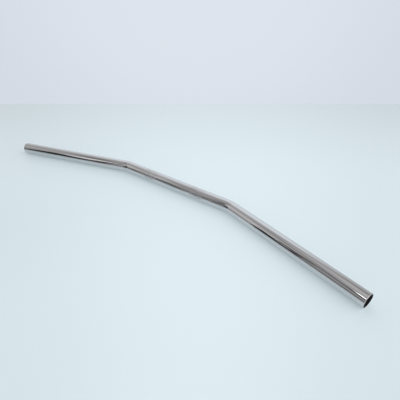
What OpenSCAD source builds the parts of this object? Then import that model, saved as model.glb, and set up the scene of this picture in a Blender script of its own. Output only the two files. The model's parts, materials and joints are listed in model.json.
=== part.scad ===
// Motorcycle drag bar: one steel tube with a straight clamp section and two grips that sweep back.
// Frame: +X to the rider's right grip, +Y forward, +Z up. The clamp section's middle is at x = 0, y = 0
// on the tube's axis. All sizes in millimetres and degrees.

/* [Tube] */
// Outside diameter of the tube
tube_diameter = 22.2; // [20:0.1:25.4]
// Wall thickness of the tube
wall_thickness = 2; // [1.5:0.1:3]

/* [Bar] */
// Width between the middles of the two open ends
bar_width = 732; // [660:1:900]
// Length between the two bend corners, measured on the tube's axis
centre_length = 242; // [230:1:290]
// Angle by which each grip sweeps back from the clamp section
sweep_angle = 16.2; // [8:0.1:30]
// Radius of each bend, measured on the tube's axis
bend_radius = 60; // [45:1:90]

/* [Ends] */
// Chamfer on the outside edge of each open end
outer_chamfer = 0.6; // [0.3:0.1:0.8]
// Chamfer on the inside edge of each open end
inner_chamfer = 0.3; // [0.2:0.1:0.5]

/* [Clamp bands] */
// Distance between the middles of the two knurled clamp bands
band_spacing = 108; // [90:1:130]
// Length of each knurled band
band_length = 28; // [16:1:40]
// Number of straight grooves round each band
knurl_grooves = 60; // [36:4:64]
// Depth of each groove
knurl_depth = 0.35; // [0.2:0.05:0.45]
// Angle between the two sides of a groove
knurl_angle = 90; // [70:5:90]

/* [Hidden] */
// above 12, $fn stands for a true circle
$fn = 96;
tube_radius = tube_diameter / 2;
bore_radius = tube_radius - wall_thickness;
// from a bend's corner to the place where its curve starts
bend_setback = bend_radius * tan(sweep_angle / 2);
// half of the straight clamp section, to 0.01 mm so that it meets the bends without a step
bend_start = round(100 * (centre_length / 2 - bend_setback)) / 100;
// from a bend's corner to the middle of the open end
corner_to_end = (bar_width - centre_length) / 2 / cos(sweep_angle);
grip_length = corner_to_end - bend_setback;
// a placed shape keeps six digits of its turn, so a second turn adds the small rest: the two surfaces then
// meet in the same circle
kept_digits = 1e6;
kept_angle = atan2(
    round(kept_digits * sin(sweep_angle)) / kept_digits,
    round(kept_digits * cos(sweep_angle)) / kept_digits
);
rest_angle = sweep_angle - kept_angle;
// a groove's cutter stands this far out of the tube
groove_overcut = 0.03;

// the tube's own ring section
module tube_section() {
    difference() {
        circle(r = tube_radius);
        circle(r = bore_radius);
    }
}

// the V grooves of one knurled band, as cutters along X
module knurl_cutters() {
    cutter_height = knurl_depth + groove_overcut;
    cutter_half_width = cutter_height * tan(knurl_angle / 2);
    for (i = [0 : knurl_grooves - 1])
        rotate([i * 360 / knurl_grooves, 0, 0])
            translate([-band_length / 2, 0, tube_radius - knurl_depth])
                rotate([90, 0, 90])
                    linear_extrude(height = band_length)
                        polygon([
                            [0, 0],
                            [cutter_half_width, cutter_height],
                            [-cutter_half_width, cutter_height]
                        ]);
}

// draws its children on the left, and on the right by half a turn about Y
module both_sides() {
    children();
    rotate([0, 180, 0])
        children();
}

// the straight section between the bends, with the two knurled bands that the risers grip
module clamp_section() {
    difference() {
        translate([-bend_start, 0, 0])
            rotate([90, 0, 90])
                linear_extrude(height = 2 * bend_start)
                    tube_section();
        both_sides()
            translate([-band_spacing / 2, 0, 0])
                knurl_cutters();
    }
}

// puts its children at the middle of the left bend's curve, with the clamp section's end on +X
module at_left_bend() {
    translate([-bend_start, -bend_radius, 0])
        rotate([0, 0, 90])
            children();
}

// one bend, from +X round to where the grip starts
module bend() {
    rotate_extrude(angle = sweep_angle)
        translate([bend_radius, 0])
            tube_section();
}

// puts its children at the end of the left bend, with the grip's axis on +Z
module at_bend_end() {
    rotate([0, 0, rest_angle])
        rotate([0, 0, sweep_angle])
            translate([bend_radius, 0, 0])
                rotate([-90, 0, 0])
                    children();
}

// one straight grip, up to its open, chamfered end
module grip() {
    rotate_extrude()
        polygon([
            [bore_radius, 0],
            [tube_radius, 0],
            [tube_radius, grip_length - outer_chamfer],
            [tube_radius - outer_chamfer, grip_length],
            [bore_radius + inner_chamfer, grip_length],
            [bore_radius, grip_length - inner_chamfer]
        ]);
}

// the whole part: a tube has no joints and no loose pieces
module handlebar() {
    color("silver") {
        clamp_section();
        both_sides()
            at_left_bend() {
                bend();
                at_bend_end()
                    grip();
            }
    }
}

handlebar();
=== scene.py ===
"""A chromed steel drag handlebar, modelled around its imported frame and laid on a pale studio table."""
import json
import math

import bpy
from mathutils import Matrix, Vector


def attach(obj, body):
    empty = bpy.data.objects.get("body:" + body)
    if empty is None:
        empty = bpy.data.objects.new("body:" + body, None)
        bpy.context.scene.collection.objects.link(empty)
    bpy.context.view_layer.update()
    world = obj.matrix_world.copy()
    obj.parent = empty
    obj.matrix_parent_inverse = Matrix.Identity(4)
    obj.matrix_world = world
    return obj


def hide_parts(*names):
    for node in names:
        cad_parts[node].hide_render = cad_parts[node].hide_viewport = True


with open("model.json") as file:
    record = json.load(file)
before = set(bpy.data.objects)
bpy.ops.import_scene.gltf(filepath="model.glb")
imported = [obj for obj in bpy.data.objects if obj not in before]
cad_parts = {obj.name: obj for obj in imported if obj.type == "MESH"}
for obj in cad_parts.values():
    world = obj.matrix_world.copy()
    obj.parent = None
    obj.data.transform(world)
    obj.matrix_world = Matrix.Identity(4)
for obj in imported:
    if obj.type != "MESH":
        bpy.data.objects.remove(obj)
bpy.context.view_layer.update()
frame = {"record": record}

bl_info = {
    "name": "Drag Handlebar",
    "version": (1, 0, 0),
    "blender": (4, 5, 0),
    "location": "3D View > Sidebar > Handlebar",
    "description": "Builds a chromed motorcycle drag handlebar and its studio stage",
    "category": "Object",
}

NODE = "handlebar"
BODY = "root"
MM = 0.001
SENSOR_WIDTH_MM = 36

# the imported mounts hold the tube's real sizes, so the defaults below come from them
MOUNTS = {mount["name"]: mount for mount in frame["record"]["mounts"]}
CLAMP = MOUNTS["clamp_section"]
GRIP = MOUNTS["grip_right"]
BORE = MOUNTS["bar_end_right"]
GRIP_AXIS = Vector(GRIP["axis"])
SWEEP = math.atan2(-GRIP_AXIS.y, GRIP_AXIS.x)
CLAMP_HALF = CLAMP["dims"]["length_mm"] * MM / 2
# the grip's straight wall stops at its chamfer, and starts where the bend ends
GRIP_START = Vector(GRIP["pos_m"]) - GRIP_AXIS * GRIP["dims"]["length_mm"] * MM
BEND_RADIUS = (GRIP_START.x - CLAMP_HALF) / math.sin(SWEEP)

# a colour mix node's own sockets: the ground, what is laid over it, and the result
MIX_GROUND, MIX_OVER, MIX_RESULT = 6, 7, 2
BLACK = (0, 0, 0, 1)
# tints of the studio's wall and of its backdrop, as shares of red, green and blue
WARM = (1.035, 1.0, 1.005)
COOL = (0.95, 1.0, 1.055)


def linear(hex_colour):
    """An sRGB hex colour such as "c8cacc" as linear red, green and blue."""
    parts = [int(hex_colour[i : i + 2], 16) / 255 for i in (0, 2, 4)]
    return tuple(c / 12.92 if c <= 0.04045 else ((c + 0.055) / 1.055) ** 2.4 for c in parts)


def grey(level, tint=(1, 1, 1)):
    """A light level with a tint, as linear red, green, blue and alpha."""
    return (*(level * share for share in tint), 1)


def add_node(tree, kind, settings=None, sockets=None):
    """Adds a shader node: settings sets its properties, sockets gives inputs values or nodes' outputs."""
    node = tree.nodes.new(kind)
    for name, value in (settings or {}).items():
        setattr(node, name, value)
    for name, value in (sockets or {}).items():
        if isinstance(value, bpy.types.NodeSocket):
            tree.links.new(value, node.inputs[name])
        else:
            node.inputs[name].default_value = value
    return node


def lay_over(tree, ground, over, *edges):
    """Lays one light over another. Each edge (value, none at, all at) fades it in softly between both."""
    share = 1.0
    for value, none_at, all_at in edges:
        edge = add_node(
            tree, "ShaderNodeMapRange", {"interpolation_type": "SMOOTHSTEP"},
            {"Value": value, "From Min": none_at, "From Max": all_at},
        )
        both = add_node(
            tree, "ShaderNodeMath", {"operation": "MULTIPLY"}, {0: edge.outputs["Result"], 1: share},
        )
        share = both.outputs["Value"]
    mix = add_node(
        tree, "ShaderNodeMix", {"data_type": "RGBA"}, {"Factor": share, MIX_GROUND: ground, MIX_OVER: over},
    )
    return mix.outputs[MIX_RESULT]


def new_material(name):
    """An empty node material, with its tree and output node."""
    material = bpy.data.materials.new(name)
    material.use_nodes = True
    tree = material.node_tree
    tree.nodes.clear()
    return material, tree, add_node(tree, "ShaderNodeOutputMaterial")


class HandlebarSizes(bpy.types.PropertyGroup):
    """The tube's sizes and colours."""

    tube_radius: bpy.props.FloatProperty(
        name="Tube radius", description="Outside radius of the tube",
        default=GRIP["dims"]["r_mm"] * MM, unit="LENGTH",
    )
    bore_radius: bpy.props.FloatProperty(
        name="Bore radius", description="Radius of the space inside the tube",
        default=BORE["dims"]["r_mm"] * MM, unit="LENGTH",
    )
    clamp_half: bpy.props.FloatProperty(
        name="Half clamp section", description="From the middle of the bar to the start of a bend",
        default=CLAMP_HALF, unit="LENGTH",
    )
    bend_radius: bpy.props.FloatProperty(
        name="Bend radius", description="Radius of each bend on the tube's axis",
        default=BEND_RADIUS, unit="LENGTH",
    )
    sweep: bpy.props.FloatProperty(
        name="Sweep", description="Angle by which each grip sweeps back",
        default=SWEEP, subtype="ANGLE",
    )
    grip_wall: bpy.props.FloatProperty(
        name="Grip length", description="Straight wall from the bend to the end's chamfer",
        default=GRIP["dims"]["length_mm"] * MM, unit="LENGTH",
    )
    outer_chamfer: bpy.props.FloatProperty(
        name="Outer chamfer", description="Chamfer on the outside edge of each end",
        default=0.6 * MM, unit="LENGTH",
    )
    inner_chamfer: bpy.props.FloatProperty(
        name="Inner chamfer", description="Chamfer on the inside edge of each end",
        default=0.3 * MM, unit="LENGTH",
    )
    edge_softening: bpy.props.FloatProperty(
        name="Edge softening", description="How far each edge of an open end is rounded over",
        default=0.08 * MM, unit="LENGTH",
    )
    band_spacing: bpy.props.FloatProperty(
        name="Band spacing", description="Distance between the middles of the two knurled bands",
        default=108 * MM, unit="LENGTH",
    )
    band_length: bpy.props.FloatProperty(
        name="Band length", description="Length of each knurled band",
        default=28 * MM, unit="LENGTH",
    )
    knurl_grooves: bpy.props.IntProperty(
        name="Knurl grooves", description="Number of grooves round each band", default=60,
    )
    knurl_depth: bpy.props.FloatProperty(
        name="Knurl depth", description="Depth of each groove", default=0.17 * MM, unit="LENGTH",
    )
    chrome_colour: bpy.props.FloatVectorProperty(
        name="Chrome", description="Colour that the plating gives to what it mirrors",
        subtype="COLOR", size=3, min=0, max=1, default=linear("d4d5d6"),
    )
    bore_colour: bpy.props.FloatVectorProperty(
        name="Bare bore", description="Colour of the dull steel inside the tube",
        subtype="COLOR", size=3, min=0, max=1, default=linear("1b1b23"),
    )
    scale_colour: bpy.props.FloatVectorProperty(
        name="Mill scale", description="Colour of the scale on the bare steel",
        subtype="COLOR", size=3, min=0, max=1, default=linear("231f1d"),
    )


class StageSizes(bpy.types.PropertyGroup):
    """The camera, the table and the light."""

    camera_place: bpy.props.FloatVectorProperty(
        name="Camera", description="Where the camera stands", subtype="TRANSLATION", size=3,
        default=(0.3636, -0.4275, 0.3526),
    )
    camera_heading: bpy.props.FloatProperty(
        name="Heading", description="Turn of the view to the left of +Y",
        default=math.radians(35.6), subtype="ANGLE",
    )
    camera_pitch: bpy.props.FloatProperty(
        name="Pitch", description="Angle by which the camera looks down",
        default=math.radians(34.69), subtype="ANGLE",
    )
    lens: bpy.props.FloatProperty(
        name="Lens", description="Focal length on a sensor 36 mm wide", default=31.68, unit="CAMERA",
    )
    table_reach: bpy.props.FloatProperty(
        name="Table reach", description="From the camera to the table's far edge, along its heading",
        default=1.032, unit="LENGTH",
    )
    table_colour: bpy.props.FloatVectorProperty(
        name="Table", description="Colour of the table", subtype="COLOR", size=3, min=0, max=1,
        default=linear("e0eff5"),
    )
    backdrop_colour: bpy.props.FloatVectorProperty(
        name="Backdrop", description="Colour of the backdrop straight behind the table",
        subtype="COLOR", size=3, min=0, max=1, default=linear("dde4ed"),
    )
    backdrop_side_colour: bpy.props.FloatVectorProperty(
        name="Backdrop's sides", description="Colour of the backdrop away from its middle",
        subtype="COLOR", size=3, min=0, max=1, default=linear("d5dbe4"),
    )
    lamp_place: bpy.props.FloatVectorProperty(
        name="Front lamp", description="Where the soft lamp at the near end stands", subtype="TRANSLATION",
        size=3, default=(0.176, -0.416, 0.461),
    )
    lamp_target: bpy.props.FloatVectorProperty(
        name="Lamp's target", description="The place on the near grip that the lamp points at",
        subtype="TRANSLATION", size=3, default=(0.36, -0.07, 0.01),
    )
    lamp_size: bpy.props.FloatVectorProperty(
        name="Lamp size", description="Width and height of the lamp", size=2, default=(0.13, 0.10),
        unit="LENGTH",
    )
    lamp_power: bpy.props.FloatProperty(
        name="Lamp power", description="Power of the lamp", default=0.085, unit="POWER",
    )


def bend_end(sizes):
    """Distance along the axis from the bar's middle to the end of a bend."""
    return sizes.clamp_half + sizes.bend_radius * sizes.sweep


def wall_end(sizes):
    """Distance along the axis from the bar's middle to the chamfer of an open end."""
    return bend_end(sizes) + sizes.grip_wall


def bend_stations(sizes, steps):
    """Distances along the axis through the right bend, from its start to its end."""
    bend = bend_end(sizes) - sizes.clamp_half
    return [sizes.clamp_half + bend * i / steps for i in range(steps + 1)]


def path_at(sizes, along):
    """The tube axis's point and turn at a signed distance along the axis from the bar's middle."""
    side = -1 if along < 0 else 1
    run = abs(along)
    if run <= sizes.clamp_half:
        turn = 0
        point = Vector((run, 0, 0))
    elif run <= bend_end(sizes):
        turn = (run - sizes.clamp_half) / sizes.bend_radius
        out = sizes.clamp_half + sizes.bend_radius * math.sin(turn)
        point = Vector((out, sizes.bend_radius * (math.cos(turn) - 1), 0))
    else:
        turn = sizes.sweep
        start = path_at(sizes, bend_end(sizes))[0]
        point = start + Vector((math.cos(turn), -math.sin(turn), 0)) * (run - bend_end(sizes))
    point.x *= side
    return point, -side * turn


def knurl_angles(sizes):
    """Angles round the tube with each one's share of the groove depth: rounded lands between V grooves."""
    pitch = math.tau / sizes.knurl_grooves
    half_width = sizes.knurl_depth / sizes.tube_radius
    # one side of a groove, as shares of its half width and of its depth
    root, root_depth = 0.08, 1.0
    lip, lip_depth = 0.92, 0.08
    land, land_depth = 1.12, 0.0
    side = [(root, root_depth), (lip, lip_depth), (land, land_depth)]
    profile = [(-place, depth) for place, depth in reversed(side)] + side
    return [
        (i * pitch + place * half_width, depth)
        for i in range(sizes.knurl_grooves)
        for place, depth in profile
    ]


def outer_stations(sizes):
    """(distance along the axis, radius, groove share) of the outside's rings, from left to right."""
    bend_steps = 20
    # two rings near the end keep the long grip's shading flat
    first_ring_back, second_ring_back = 10 * MM, 0.3 * MM
    # a groove runs out over a length like its depth
    run_out = sizes.knurl_depth
    band_in = (sizes.band_spacing - sizes.band_length) / 2
    band_out = (sizes.band_spacing + sizes.band_length) / 2
    half = [(band_in, 0.0), (band_in + run_out, 1.0), (band_out - run_out, 1.0), (band_out, 0.0)]
    half += [(along, 0.0) for along in bend_stations(sizes, bend_steps)]
    half += [(wall_end(sizes) - back, 0.0) for back in (first_ring_back, second_ring_back)]
    left = [(-along, sizes.tube_radius, share) for along, share in reversed(half)]
    return left + [(along, sizes.tube_radius, share) for along, share in half]


def end_stations(sizes):
    """(distance along the axis, radius) round one open end, from the outside over the rim to the bore."""
    wall = wall_end(sizes)
    end = wall + sizes.outer_chamfer
    # each edge, with its rings as steps out along the axis and out from it, in shares of the softening
    edges = [
        (wall, sizes.tube_radius, [(-1, 0), (0.3, -0.4), (1, -1.1)]),
        (end, sizes.tube_radius - sizes.outer_chamfer, [(-1, 1), (-0.3, 0.2), (0, -1)]),
        (end, sizes.bore_radius + sizes.inner_chamfer, [(0, 1), (-0.3, -0.1), (-1, -1)]),
        (end - sizes.inner_chamfer, sizes.bore_radius, [(1, 1), (-1, 0)]),
    ]
    soft = sizes.edge_softening
    return [
        (along + step * soft, radius + rise * soft)
        for along, radius, rings in edges
        for step, rise in rings
    ]


def bore_stations(sizes):
    """(distance along the axis, radius) of the rings inside, from the right end to the left."""
    bend_steps = 8
    first_ring_back = 8 * MM
    right = [wall_end(sizes) - first_ring_back, *reversed(bend_stations(sizes, bend_steps))]
    left = [-along for along in reversed(right)]
    return [(along, sizes.bore_radius) for along in right + left]


def build_tube_mesh(sizes):
    """One closed mesh of the tube, both rims and the bore, with a UV of metres along and round it."""
    rim = end_stations(sizes)
    outside = outer_stations(sizes)
    inside = [(along, radius, 0.0) for along, radius in bore_stations(sizes)]
    right_rim = [(along, radius, 0.0) for along, radius in rim]
    left_rim = [(-along, radius, 0.0) for along, radius in reversed(rim)]
    rings = outside + right_rim + inside + left_rim
    around = knurl_angles(sizes)
    # the plating ends where the rim's flat starts, five rings into each end
    plated_rings = 5
    bare_from = len(outside) + plated_rings
    bare_to = len(rings) - plated_rings - 1

    verts, uvs = [], []
    walked = 0
    for k, (along, radius, share) in enumerate(rings):
        centre, turn = path_at(sizes, along)
        normal = Vector((-math.sin(turn), math.cos(turn), 0))
        before = rings[k - 1]
        walked += math.hypot(along - before[0], radius - before[1]) if k else 0
        for angle, depth in around:
            r = radius - share * depth * sizes.knurl_depth
            verts.append(centre + normal * (r * math.cos(angle)) + Vector((0, 0, r * math.sin(angle))))
            uvs.append((walked, angle * sizes.tube_radius))
    count, turns = len(rings), len(around)
    faces, bare = [], []
    for i in range(count):
        j = (i + 1) % count
        for a in range(turns):
            b = (a + 1) % turns
            faces.append((i * turns + a, i * turns + b, j * turns + b, j * turns + a))
            bare.append(int(bare_from <= i < bare_to))
    mesh = bpy.data.meshes.new(NODE)
    mesh.from_pydata(verts, [], faces)
    layer = mesh.uv_layers.new(name="tube")
    for loop in mesh.loops:
        layer.data[loop.index].uv = uvs[loop.vertex_index]
    mesh.polygons.foreach_set("use_smooth", [True] * len(faces))
    mesh.polygons.foreach_set("material_index", bare)
    mesh.update()
    mesh.validate()
    return mesh


def chrome_plating(sizes):
    """Bright chrome, electroplated over polished steel."""
    # to the eye: a clean, cool mirror that faint polishing lines and a wide haze soften a little
    material, tree, output = new_material("bright chrome plating on polished steel")
    # the lines run round the tube, and are drawn coarser than real ones so that they show
    line_gap, line_length, line_depth, line_strength = 0.4 * MM, 30 * MM, 0.02 * MM, 0.06
    haze_size, haze_low, haze_high = 45 * MM, 0.3, 0.7
    clearest, haziest = 0.04, 0.08
    coords = add_node(tree, "ShaderNodeTexCoord")
    lines = add_node(
        tree, "ShaderNodeMapping",
        sockets={"Vector": coords.outputs["UV"], "Scale": (1 / line_gap, 1 / line_length, 1)},
    )
    grain = add_node(
        tree, "ShaderNodeTexNoise",
        sockets={"Vector": lines.outputs["Vector"], "Scale": 1.0, "Detail": 3.0, "Roughness": 0.6},
    )
    haze = add_node(
        tree, "ShaderNodeTexNoise",
        sockets={"Vector": coords.outputs["Object"], "Scale": 1 / haze_size, "Detail": 2.0},
    )
    rough = add_node(
        tree, "ShaderNodeMapRange",
        sockets={
            "Value": haze.outputs["Fac"], "From Min": haze_low, "From Max": haze_high,
            "To Min": clearest, "To Max": haziest,
        },
    )
    bump = add_node(
        tree, "ShaderNodeBump",
        sockets={"Height": grain.outputs["Fac"], "Strength": line_strength, "Distance": line_depth},
    )
    plating = add_node(
        tree, "ShaderNodeBsdfPrincipled",
        sockets={
            "Base Color": (*sizes.chrome_colour, 1), "Metallic": 1.0,
            "Roughness": rough.outputs["Result"], "Normal": bump.outputs["Normal"],
        },
    )
    tree.links.new(plating.outputs["BSDF"], output.inputs["Surface"])
    return material


def bare_drawn_steel(sizes):
    """Drawn steel tube, left unplated inside, with mill scale."""
    # to the eye: dull and nearly black where little light reaches, with brownish patches
    material, tree, output = new_material("bare drawn steel with mill scale")
    patch_size = 2.5 * MM
    # the noise level where the steel's own colour ends, and where the scale's begins
    steel_until, scale_from = 0.35, 0.75
    coords = add_node(tree, "ShaderNodeTexCoord")
    patches = add_node(
        tree, "ShaderNodeTexNoise",
        sockets={"Vector": coords.outputs["Object"], "Scale": 1 / patch_size, "Detail": 5.0},
    )
    tint = add_node(tree, "ShaderNodeValToRGB", sockets={"Fac": patches.outputs["Fac"]})
    stops = ((steel_until, sizes.bore_colour), (scale_from, sizes.scale_colour))
    for stop, (place, colour) in zip(tint.color_ramp.elements, stops):
        stop.position = place
        stop.color = (*colour, 1)
    steel = add_node(
        tree, "ShaderNodeBsdfPrincipled",
        sockets={"Base Color": tint.outputs["Color"], "Roughness": 0.7, "Specular IOR Level": 0.1},
    )
    tree.links.new(steel.outputs["BSDF"], output.inputs["Surface"])
    return material


def camera_axes(stage):
    """The camera's level heading, the level way to its right, and its line of sight."""
    heading = Vector((-math.sin(stage.camera_heading), math.cos(stage.camera_heading), 0))
    across = Vector((heading.y, -heading.x, 0))
    down = Vector((0, 0, -1))
    return heading, across, heading * math.cos(stage.camera_pitch) + down * math.sin(stage.camera_pitch)


def add_camera(stage):
    """The camera at the photograph's angle."""
    sight = camera_axes(stage)[2]
    data = bpy.data.cameras.new("camera")
    data.lens = stage.lens
    data.sensor_width = SENSOR_WIDTH_MM
    camera = bpy.data.objects.new("camera", data)
    camera.location = stage.camera_place
    camera.rotation_euler = sight.to_track_quat("-Z", "Y").to_euler()
    bpy.context.scene.collection.objects.link(camera)
    bpy.context.scene.camera = camera


def table_colour_with_painted_falloff(tree, stage):
    """The table's colour with painted shade: dimmer far away, toward both sides and close to the camera's
    foot, where the light falls off.
    """
    heading, across = camera_axes(stage)[:2]
    coords = add_node(tree, "ShaderNodeTexCoord")
    foot = Vector((stage.camera_place[0], stage.camera_place[1], 0))
    from_foot = add_node(
        tree, "ShaderNodeVectorMath", {"operation": "SUBTRACT"}, {0: coords.outputs["Object"], 1: foot},
    )
    along, aside = (
        add_node(
            tree, "ShaderNodeVectorMath", {"operation": "DOT_PRODUCT"},
            {0: from_foot.outputs["Vector"], 1: axis},
        ).outputs["Value"]
        for axis in (heading, across)
    )
    # the slope to the side is taken from a point a little behind the foot
    behind_foot = 0.25
    width = add_node(tree, "ShaderNodeMath", {"operation": "ABSOLUTE"}, {0: aside})
    length = add_node(tree, "ShaderNodeMath", {"operation": "ADD"}, {0: along, 1: behind_foot})
    slope = add_node(
        tree, "ShaderNodeMath", {"operation": "DIVIDE"},
        {0: width.outputs["Value"], 1: length.outputs["Value"]},
    )
    # for each: the measure, where the dimming starts and where it is full, and the share of light lost
    losses = (
        (along, 0.55, 1.1, 0.16),
        (slope.outputs["Value"], 0.02, 0.47, 0.075),
        (along, 0.34, 0.12, 0.03),
    )
    lost = 0.0
    for measure, starts, full, share in losses:
        loss = add_node(
            tree, "ShaderNodeMapRange", {"interpolation_type": "SMOOTHSTEP"},
            {"Value": measure, "From Min": starts, "From Max": full, "To Max": share},
        )
        both = add_node(tree, "ShaderNodeMath", {"operation": "ADD"}, {0: loss.outputs["Result"], 1: lost})
        lost = both.outputs["Value"]
    mix = add_node(
        tree, "ShaderNodeMix", {"data_type": "RGBA"},
        {"Factor": lost, MIX_GROUND: (*stage.table_colour, 1), MIX_OVER: BLACK},
    )
    return mix.outputs[MIX_RESULT]


def table_paint(stage):
    """White laminate under clear cast acrylic, with a painted glow that lightens the shade around the bar.
    """
    # to the eye: pale and even, matt from above, and mirroring softly at a low angle
    material, tree, output = new_material("white laminate under clear acrylic")
    # the glow is painted light: the table glows in its own colour though it is no lamp, which lifts the
    # shade at the bar's foot
    painted_glow, paint_lost_to_glow = 0.315, 0.29
    # the acrylic is clear to what the chrome mirrors and hazy to the camera
    clear_coat, hazy_coat = 0.05, 0.45
    # tint carries the table's colour with its painted shade toward the far edge, the sides and the camera's
    # foot
    tint = table_colour_with_painted_falloff(tree, stage)
    base = add_node(
        tree, "ShaderNodeMix", {"data_type": "RGBA"},
        {"Factor": paint_lost_to_glow, MIX_GROUND: tint, MIX_OVER: BLACK},
    )
    seen = add_node(tree, "ShaderNodeLightPath")
    haze = add_node(
        tree, "ShaderNodeMapRange",
        sockets={"Value": seen.outputs["Is Camera Ray"], "To Min": clear_coat, "To Max": hazy_coat},
    )
    paint = add_node(
        tree, "ShaderNodeBsdfPrincipled",
        sockets={
            "Base Color": base.outputs[MIX_RESULT], "Roughness": 0.5, "IOR": 1.5,
            "Coat Weight": 1.0, "Coat IOR": 1.5, "Coat Roughness": haze.outputs["Result"],
            "Emission Color": tint, "Emission Strength": painted_glow,
        },
    )
    tree.links.new(paint.outputs["BSDF"], output.inputs["Surface"])
    return material


def add_sheet(name, corners, material):
    """A flat sheet of the stage through its corners."""
    mesh = bpy.data.meshes.new(name)
    mesh.from_pydata(corners, [], [tuple(range(len(corners)))])
    mesh.materials.append(material)
    sheet = bpy.data.objects.new(name, mesh)
    bpy.context.scene.collection.objects.link(sheet)
    return sheet


def add_table(stage, height):
    """A level table, whose far edge lies square to the camera's heading."""
    heading, across = camera_axes(stage)[:2]
    middle = Vector((stage.camera_place[0], stage.camera_place[1], height))
    behind, half_width = 4.0, 4.0
    ends = [
        (-behind, -half_width), (-behind, half_width),
        (stage.table_reach, half_width), (stage.table_reach, -half_width),
    ]
    corners = [middle + heading * along + across * side for along, side in ends]
    add_sheet("table", corners, table_paint(stage))


def wall_light(tree, azimuth, elevation, ceiling):
    """The side to the camera's left and behind it: a warm wall that brightens upward, under the ceiling."""
    near_low, near_high = grey(0.34, WARM), grey(0.66, WARM)
    far_low, far_high = grey(0.20, WARM), grey(0.44, WARM)
    skirting, beam, pane = grey(0.05), grey(0.25, WARM), grey(1.15)
    near_brightens, far_brightens = (-2, 34), (0, 38)
    far_wall_starts, ceiling_starts = (-134, -140), (38, 47)
    skirting_foot, skirting_top = (-15, -13), (4, 2)
    near_wall = lay_over(tree, near_low, near_high, (elevation, *near_brightens))
    far_wall = lay_over(tree, far_low, far_high, (elevation, *far_brightens))
    wall = lay_over(tree, near_wall, far_wall, (azimuth, *far_wall_starts))
    light = lay_over(tree, wall, ceiling, (elevation, *ceiling_starts))
    light = lay_over(tree, light, skirting, (elevation, *skirting_foot), (elevation, *skirting_top))

    # a dim beam under the ceiling, which climbs as it comes forward
    beam_climbs, beam_low, beam_high = (-158, -122), 40.5, 55.5
    beam_foot, beam_top, beam_starts = (-4.5, -1.5), (4.5, 1.5), (-101, -109)
    climb = add_node(
        tree, "ShaderNodeMapRange", {"interpolation_type": "SMOOTHSTEP"},
        {
            "Value": azimuth, "From Min": beam_climbs[0], "From Max": beam_climbs[1],
            "To Min": beam_low, "To Max": beam_high,
        },
    )
    over_beam = add_node(
        tree, "ShaderNodeMath", {"operation": "SUBTRACT"}, {0: elevation, 1: climb.outputs["Result"]},
    ).outputs["Value"]
    light = lay_over(
        tree, light, beam, (over_beam, *beam_foot), (over_beam, *beam_top), (azimuth, *beam_starts),
    )

    # one bright pane in the far wall
    pane_foot, pane_top = (24.5, 27.5), (41.5, 38.5)
    pane_left, pane_right = (-157.5, -155.5), (-149.5, -151.5)
    return lay_over(
        tree, light, pane, (elevation, *pane_foot), (elevation, *pane_top),
        (azimuth, *pane_left), (azimuth, *pane_right),
    )


def backdrop_light(tree, azimuth, elevation, ceiling):
    """The side behind the bar: a cool, bright backdrop, dimmer at both ends, with the ceiling over it."""
    low, high = grey(0.86, COOL), grey(0.94, COOL)
    left_part, left_end, right_end, dark_corner = grey(0.68), grey(0.50), grey(0.50), grey(0.18)
    brightens, right_end_starts = (14, 30), (-20, 10)
    left_part_starts, left_end_starts = (-52, -66), (-66, -80)
    light = lay_over(tree, low, high, (elevation, *brightens))
    light = lay_over(tree, light, left_part, (azimuth, *left_part_starts))
    light = lay_over(tree, light, left_end, (azimuth, *left_end_starts))
    light = lay_over(tree, light, right_end, (azimuth, *right_end_starts))

    corner_starts, corner_foot, corner_top = (-17, -8), (48, 52), (62, 58)
    over = lay_over(
        tree, ceiling, dark_corner,
        (azimuth, *corner_starts), (elevation, *corner_foot), (elevation, *corner_top),
    )

    # the backdrop's soft upper edge comes down toward its right end along a parabola
    edge_height, edge_drop, edge_soft = 57.0, 24.0, 6.0
    drop_from, drop_to = -40.0, 0.0
    fall = add_node(
        tree, "ShaderNodeMapRange", sockets={"Value": azimuth, "From Min": drop_from, "From Max": drop_to},
    ).outputs["Result"]
    squared = add_node(tree, "ShaderNodeMath", {"operation": "MULTIPLY"}, {0: fall, 1: fall})
    edge = add_node(
        tree, "ShaderNodeMath", {"operation": "MULTIPLY_ADD"},
        {0: squared.outputs["Value"], 1: -edge_drop, 2: edge_height},
    )
    over_edge = add_node(
        tree, "ShaderNodeMath", {"operation": "SUBTRACT"}, {0: elevation, 1: edge.outputs["Value"]},
    ).outputs["Value"]
    return lay_over(tree, light, over, (over_edge, -edge_soft, edge_soft))


def window_light(tree, azimuth, elevation, mirrored):
    """The windows on the +X side, which light the table and are calmer in what the chrome mirrors."""
    far_windows, near_windows, near_starts = grey(1.65), grey(1.3), (80, 110)
    shine = lay_over(tree, far_windows, near_windows, (azimuth, *near_starts))
    # mirrored, they stand over a dark skirting and under a dim cornice
    surround, pane, pane_foot, pane_top = grey(0.30, WARM), grey(1.0), (9.5, 14.5), (48.5, 43.5)
    calm = lay_over(tree, surround, pane, (elevation, *pane_foot), (elevation, *pane_top))
    return lay_over(tree, shine, calm, (mirrored, 0, 1))


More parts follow.
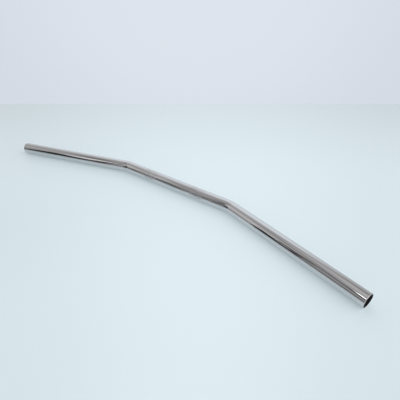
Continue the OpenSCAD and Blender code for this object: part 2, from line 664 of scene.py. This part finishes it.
def light_room(stage):
    """A studio by direction: azimuth in degrees from +Y toward +X, elevation in degrees above the table."""
    world = bpy.data.worlds.new("studio")
    bpy.context.scene.world = world
    world.use_nodes = True
    tree = world.node_tree
    tree.nodes.clear()
    way = add_node(tree, "ShaderNodeTexCoord").outputs["Generated"]
    split = add_node(tree, "ShaderNodeSeparateXYZ", sockets={"Vector": way})
    climb = add_node(tree, "ShaderNodeMath", {"operation": "ARCSINE"}, {0: split.outputs["Z"]})
    turn = add_node(
        tree, "ShaderNodeMath", {"operation": "ARCTAN2"}, {0: split.outputs["X"], 1: split.outputs["Y"]},
    )
    elevation, azimuth = (
        add_node(
            tree, "ShaderNodeMath", {"operation": "DEGREES"}, {0: angle.outputs["Value"]},
        ).outputs["Value"]
        for angle in (climb, turn)
    )
    seen = add_node(tree, "ShaderNodeLightPath")

    ceiling_brightens, backdrop_starts = (62, 76), (-95, -80)
    ceiling = lay_over(tree, grey(0.43, WARM), grey(0.56, WARM), (elevation, *ceiling_brightens))
    wall = wall_light(tree, azimuth, elevation, ceiling)
    backdrop = backdrop_light(tree, azimuth, elevation, ceiling)
    around = lay_over(tree, wall, backdrop, (azimuth, *backdrop_starts))
    # the window side runs from the backdrop's right end round to the camera's back
    right_of_backdrop, behind_camera, windows_top = (14, 30), (-160, -174), (80, 70)
    windows = window_light(tree, azimuth, elevation, seen.outputs["Is Glossy Ray"])
    for side in (right_of_backdrop, behind_camera):
        around = lay_over(tree, around, windows, (azimuth, *side), (elevation, *windows_top))

    # the camera sees only the backdrop's own colour, a little paler straight behind the bar
    heading = camera_axes(stage)[0]
    facing = add_node(tree, "ShaderNodeVectorMath", {"operation": "DOT_PRODUCT"}, {0: way, 1: heading})
    middle_starts = (0.84, 1.0)
    shown = lay_over(
        tree, (*stage.backdrop_side_colour, 1), (*stage.backdrop_colour, 1),
        (facing.outputs["Value"], *middle_starts),
    )
    light = lay_over(tree, around, shown, (seen.outputs["Is Camera Ray"], 0, 1))
    background = add_node(tree, "ShaderNodeBackground", sockets={"Color": light, "Strength": 1.0})
    add_node(tree, "ShaderNodeOutputWorld", sockets={"Surface": background.outputs["Background"]})


def add_card(name, stand, outline, colour):
    """An upright card on the camera's side: the chrome mirrors it, and the camera doesn't show it."""
    material, tree, output = new_material("matt painted card")
    paint = add_node(tree, "ShaderNodeBsdfDiffuse", sockets={"Color": colour})
    tree.links.new(paint.outputs["BSDF"], output.inputs["Surface"])
    card = add_sheet(name, [(x, stand, z) for x, z in outline], material)
    card.visible_camera = False


def add_cards():
    """Four cards, outlined as (x, z) in metres. Their mirror images are the dark lines along the bar."""
    far_stand, near_stand, foot = -0.9, -0.45, 0.04
    black, grey_red, dark_grey, mid_grey = grey(0.03), (0.08, 0.05, 0.06, 1), grey(0.08), grey(0.2)
    left, seam, right = -0.77, -0.5, -0.42
    slope_low, slope_high, slope_in, top = 0.22, 0.5, -0.7, 0.6
    add_card(
        "black_flag", far_stand,
        [(left, foot), (seam, foot), (seam, slope_low), (slope_in, slope_high), (left, slope_high)], black,
    )
    add_card("grey_flag", far_stand, [(seam, foot), (right, foot), (right, top), (seam, top)], grey_red)
    # the boom's lower edge and upper edge, each from the left
    boom_under = [(-0.36, 0.40), (-0.10, 0.37), (0.02, 0.335), (0.20, 0.22)]
    boom_over = [(-0.36, 0.47), (-0.10, 0.50), (0.02, 0.455), (0.20, 0.39)]
    add_card("boom", near_stand, boom_under + boom_over[::-1], dark_grey)
    card_left, card_right, card_foot = -0.20, -0.03, 0.20
    add_card(
        "card", near_stand,
        [(card_left, card_foot), (card_right, card_foot), (card_right, 0.36), (card_left, 0.38)], mid_grey,
    )


def add_front_lamp(stage):
    """A soft lamp turned to the near grip, for the bright line at its end."""
    data = bpy.data.lights.new("front_lamp", "AREA")
    data.shape = "RECTANGLE"
    data.size, data.size_y = stage.lamp_size
    data.energy = stage.lamp_power
    lamp = bpy.data.objects.new("front_lamp", data)
    lamp.location = stage.lamp_place
    sight = Vector(stage.lamp_target) - Vector(stage.lamp_place)
    lamp.rotation_euler = sight.to_track_quat("-Z", "Y").to_euler()
    lamp.visible_camera = False
    bpy.context.scene.collection.objects.link(lamp)


class HANDLEBAR_OT_tube(bpy.types.Operator):
    """Builds the bent, plated tube in place of its plain solid"""

    bl_idname = "handlebar.tube"
    bl_label = "Build the tube"

    def execute(self, context):
        sizes = context.scene.handlebar_sizes
        mesh = build_tube_mesh(sizes)
        mesh.materials.append(chrome_plating(sizes))
        mesh.materials.append(bare_drawn_steel(sizes))
        tube = bpy.data.objects.new("chromed_tube", mesh)
        context.scene.collection.objects.link(tube)
        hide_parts(NODE)
        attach(tube, BODY)
        return {"FINISHED"}


class HANDLEBAR_OT_stage(bpy.types.Operator):
    """Sets up the table, the light and the camera"""

    bl_idname = "handlebar.stage"
    bl_label = "Set the stage"

    def execute(self, context):
        stage = context.scene.handlebar_stage
        sizes = context.scene.handlebar_sizes
        context.scene.view_settings.view_transform = "Standard"
        # the bar lies on the table
        add_table(stage, -sizes.tube_radius)
        light_room(stage)
        add_cards()
        add_front_lamp(stage)
        add_camera(stage)
        return {"FINISHED"}


class HANDLEBAR_PT_panel(bpy.types.Panel):
    """Lists the steps that build the handlebar"""

    bl_idname = "HANDLEBAR_PT_panel"
    bl_label = "Drag Handlebar"
    bl_space_type = "VIEW_3D"
    bl_region_type = "UI"
    bl_category = "Handlebar"

    def draw(self, context):
        for operator in (HANDLEBAR_OT_tube, HANDLEBAR_OT_stage):
            self.layout.operator(operator.bl_idname)


CLASSES = (HandlebarSizes, StageSizes, HANDLEBAR_OT_tube, HANDLEBAR_OT_stage, HANDLEBAR_PT_panel)


def register():
    """Registers the classes and their settings."""
    for cls in CLASSES:
        bpy.utils.register_class(cls)
    bpy.types.Scene.handlebar_sizes = bpy.props.PointerProperty(type=HandlebarSizes)
    bpy.types.Scene.handlebar_stage = bpy.props.PointerProperty(type=StageSizes)


def unregister():
    """Removes them again."""
    del bpy.types.Scene.handlebar_stage
    del bpy.types.Scene.handlebar_sizes
    for cls in reversed(CLASSES):
        bpy.utils.unregister_class(cls)


def main():
    """Builds the handlebar and its stage."""
    register()
    bpy.ops.handlebar.tube()
    bpy.ops.handlebar.stage()


if __name__ == "__main__":
    main()
